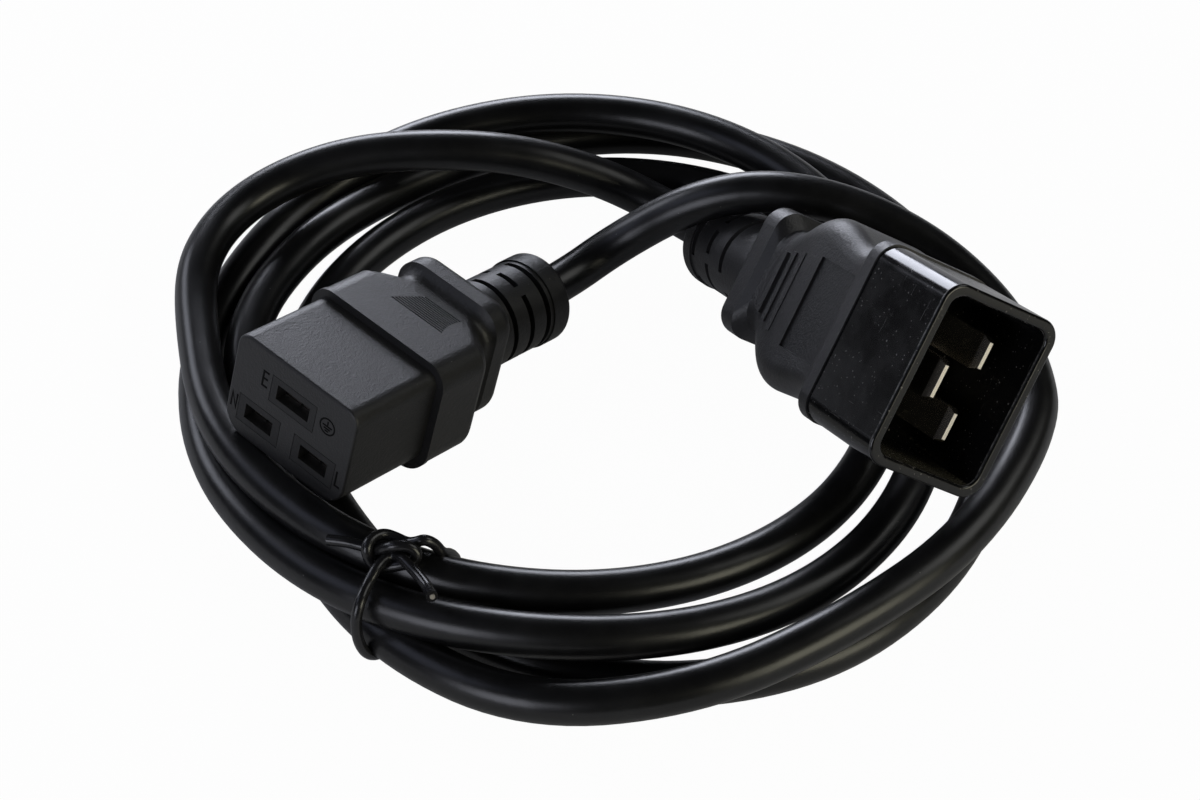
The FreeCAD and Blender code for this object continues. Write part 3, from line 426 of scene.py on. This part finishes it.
def make_tie():
    """The knotted tie wire and the bare core that shows at its cut end."""
    route = np.array(TIE_ROUTE) * MM
    ahead = route[-1] - route[-2]
    core_end = route[-1] + ahead / np.linalg.norm(ahead) * TIE_CORE_SHOWS
    pieces = []
    for node, points, diameter in (("tie_wire", route, TIE_DIAMETER),
                                   ("tie_conductor", [*route[-3:-1], core_end],
                                    TIE_CORE_DIAMETER)):
        piece = smooth_line(node + "_knotted", [list(point) for point in points], diameter, 6, 8)
        piece.data.materials.append(FINISHES[node])
        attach(piece, "root")
        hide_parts(node)
        "tie_covering" if node == "tie_wire" else "tie_metal"
        pieces.append(piece)
    return pieces


# ---------------------------------------------------------------- marks on the connector's face

BEAD_POINTS = 7         # points across a half-round bead
BEAD_SUNK = 0.02        # how far its foot lies under the face, in millimetres


def stroke(path, width, height, closed):
    """A raised bead along a flat path: a half round carried along it, mitred at each corner.

    The path is (y, z) on a face that looks along -x. Returns points in the same frame, and faces.
    """
    path = np.asarray(path, float)
    count = len(path)
    ahead = np.roll(path, -1, 0) - path
    if not closed:
        ahead[-1] = ahead[-2]
    ahead /= np.linalg.norm(ahead, axis=1)[:, None]
    behind = np.roll(ahead, 1, 0)
    if not closed:
        behind[0] = ahead[0]
    side = np.stack([-(ahead + behind)[:, 1], (ahead + behind)[:, 0]], 1)
    side /= np.linalg.norm(side, axis=1)[:, None]
    miter = 1 / np.maximum(np.sum(side * np.stack([-ahead[:, 1], ahead[:, 0]], 1), 1), 0.5)
    swing = np.linspace(0, math.pi, BEAD_POINTS)
    across = np.cos(swing) * width / 2
    out = -np.sin(swing) * height
    flat = path[:, None, :] + (side * miter[:, None])[:, None, :] * across[None, :, None]
    lift = np.broadcast_to(out[None, :, None] + BEAD_SUNK, (count, BEAD_POINTS, 1))
    ring = np.concatenate([lift, flat], 2)
    rows = np.arange(count if closed else count - 1)
    columns = np.arange(BEAD_POINTS)
    first = rows[:, None] * BEAD_POINTS + columns[None, :]
    second = ((rows + 1) % count)[:, None] * BEAD_POINTS + columns[None, :]
    turn = (columns + 1) % BEAD_POINTS
    faces = np.stack([first, second, second[:, turn], first[:, turn]], 2).reshape(-1, 4)
    return ring.reshape(-1, 3), faces


def marks(name, strokes, finish, width=0.44, height=0.1):
    """Several strokes on the mating face as one piece."""
    points, faces, ends = [], [], []
    for path, closed in strokes:
        ring, quads = stroke(path, width, height, closed)
        start = sum(len(part) for part in points)
        if not closed:
            across = np.arange(BEAD_POINTS) + start
            ends += [across[::-1].tolist(), (across + len(ring) - BEAD_POINTS).tolist()]
        points.append(ring)
        faces += (quads + start).tolist()
    mesh = bpy.data.meshes.new(name)
    mesh.from_pydata(placed(np.vstack(points), CONNECTOR).tolist(), [], faces + ends)
    mesh.update()
    piece = bpy.data.objects.new(name, mesh)
    bpy.context.scene.collection.objects.link(piece)
    mesh.materials.append(finish)
    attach(piece, "root")


def face_marks():
    """Generic letters at the slots and the earth sign, as (y, z) strokes on the mating face."""
    letters = {
        "mark_earth_letter": [([(6.0, 5.8), (7.2, 5.8), (7.2, 2.9), (6.0, 2.9)], False),
                              ([(7.2, 4.4), (6.1, 4.4)], False)],
        "mark_neutral_letter": [
            ([(13.0, -5.3), (13.0, -2.4), (11.85, -5.3), (11.85, -2.4)], False)],
        "mark_line_letter": [([(-12.0, -2.8), (-12.0, -5.7), (-13.1, -5.7)], False)],
    }
    # The strokes are painted near black, far darker than the face's moulding. This is painted
    # shade standing in for the shading along the raised letters and sign.
    finish = smooth_covering("mark_strokes_painted_shade", (0.001, 0.001, 0.001), 0.6, 0.1)
    for name, strokes in letters.items():
        marks(name, strokes, finish)
    angle = np.linspace(0, 2 * math.pi, 33)[:-1]
    ring = np.stack([-8.0 + 1.62 * np.cos(angle), 4.15 + 1.5 * np.sin(angle)], 1)
    sign = [(ring, True), ([(-8.0, 5.2), (-8.0, 4.2)], False),
            ([(-6.95, 4.2), (-9.05, 4.2)], False), ([(-7.3, 3.7), (-8.7, 3.7)], False),
            ([(-7.6, 3.25), (-8.4, 3.25)], False)]
    marks("mark_earth_sign", sign, finish, width=0.34)


# ---------------------------------------------------------------- floor, light and camera

FLOOR_HALF = 3.0
# How much of the floor is plain white to each kind of ray; the rest is lit and keeps shadows.
WHITE_TO_CAMERA = 0.975
WHITE_IN_GLOSS = 0.07
WHITE_THROUGH = 0.9
ROOM_LIGHT = 0.01
LAMPS = {
    # name: azimuth and height in degrees, width and height in metres, power, colour
    "front_key": (270, 18, 0.45, 0.45, 2.1, (1.0, 0.96, 0.76)),
    "right_fill": (315, 42, 0.45, 0.45, 1.0, (1.0, 1.0, 0.97)),
    "back_strip": (50, 15, 0.5, 0.35, 5.0, (0.86, 0.89, 1.0)),
    "side_card": (98, 24, 0.35, 0.3, 1.3, (0.85, 0.88, 1.0)),
    "left_card": (182, 20, 0.45, 0.45, 2.1, (0.87, 0.89, 1.0)),
    "left_back": (135, 42, 0.45, 0.45, 0.5, (0.72, 0.77, 1.0)),
}
LAMP_DISTANCE = 0.9
MIDDLE = (0.05, -0.02, 0.0)               # the lamps are turned to this point
CAMERA_AT = (-0.2065, -0.24525, 0.34432)
CAMERA_LOOKS = (0.5179, 0.4437, -0.7314)
FOCAL_LENGTH = 84.0


def floor():
    """A pale floor that shows nearly white to the camera and keeps its shadows."""
    corners = [(x * FLOOR_HALF, y * FLOOR_HALF, FLOOR_Z)
               for x, y in ((-1, -1), (1, -1), (1, 1), (-1, 1))]
    mesh = bpy.data.meshes.new("floor")
    mesh.from_pydata(corners, [], [(0, 1, 2, 3)])
    piece = bpy.data.objects.new("floor", mesh)
    bpy.context.scene.collection.objects.link(piece)
    finish = Finish("pale_floor")
    finish.set(Base_Color=(0.8, 0.8, 0.8, 1.0), Roughness=0.8)
    lit = finish.node("ShaderNodeEmission", values={"Color": (1, 1, 1, 1), "Strength": 1.0})
    path = finish.node("ShaderNodeLightPath", output="Is Camera Ray")
    glossy = Signal(finish, path.socket.node.outputs["Is Glossy Ray"])
    through = Signal(finish, path.socket.node.outputs["Is Transmission Ray"])
    share = path * WHITE_TO_CAMERA + glossy * WHITE_IN_GLOSS + through * WHITE_THROUGH
    mixed = finish.node("ShaderNodeMixShader", values=[
        share, Signal(finish, finish.shader.outputs[0]), lit])
    finish.tree.links.new(mixed.socket, finish.tree.nodes["Material Output"].inputs["Surface"])
    mesh.materials.append(finish.material)


def surroundings():
    """A white backdrop to the camera, and a dim even room for the light on the object."""
    world = bpy.data.worlds.new("room")
    bpy.context.scene.world = world
    world.use_nodes = True
    tree = world.node_tree
    background = tree.nodes["Background"]
    path = tree.nodes.new("ShaderNodeLightPath")
    level = tree.nodes.new("ShaderNodeMapRange")
    level.inputs["To Min"].default_value = ROOM_LIGHT
    level.inputs["To Max"].default_value = 1.0
    tree.links.new(path.outputs["Is Camera Ray"], level.inputs["Value"])
    tree.links.new(level.outputs[0], background.inputs["Strength"])
    background.inputs["Color"].default_value = (1, 1, 1, 1)


def softbox(name, azimuth, height, wide, high, power, colour):
    """A rectangular lamp on a dome round the set, turned to its middle."""
    lamp = bpy.data.lights.new(name, "AREA")
    lamp.shape = "RECTANGLE"
    lamp.size = wide
    lamp.size_y = high
    lamp.energy = power
    lamp.color = colour
    box = bpy.data.objects.new(name, lamp)
    bpy.context.scene.collection.objects.link(box)
    turn = math.radians(azimuth)
    rise = math.radians(height)
    away = Vector((math.cos(rise) * math.cos(turn), math.cos(rise) * math.sin(turn),
                   math.sin(rise)))
    box.location = Vector(MIDDLE) + LAMP_DISTANCE * away
    box.rotation_euler = away.to_track_quat("Z", "Y").to_euler()


def camera():
    """A long lens that looks down on the set from the front left."""
    lens = bpy.data.cameras.new("camera")
    lens.lens = FOCAL_LENGTH
    lens.sensor_width = 36.0
    lens.clip_start = 0.01
    view = bpy.data.objects.new("camera", lens)
    bpy.context.scene.collection.objects.link(view)
    view.location = CAMERA_AT
    view.rotation_euler = Vector(CAMERA_LOOKS).to_track_quat("-Z", "Y").to_euler()
    bpy.context.scene.camera = view


# ---------------------------------------------------------------- build

on_cord = [piece for node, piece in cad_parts.items() if node.startswith("c20_")]
make_cord(on_cord + make_tie())
for node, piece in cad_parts.items():
    if not node.startswith("cord_"):
        for slot in piece.material_slots:
            slot.material = finish_of(node)
face_marks()
floor()
surroundings()
for name, (azimuth, height, wide, high, power, colour) in LAMPS.items():
    softbox(name, azimuth, height, wide, high, power, colour)
camera()
bpy.context.scene.view_settings.view_transform = "Standard"
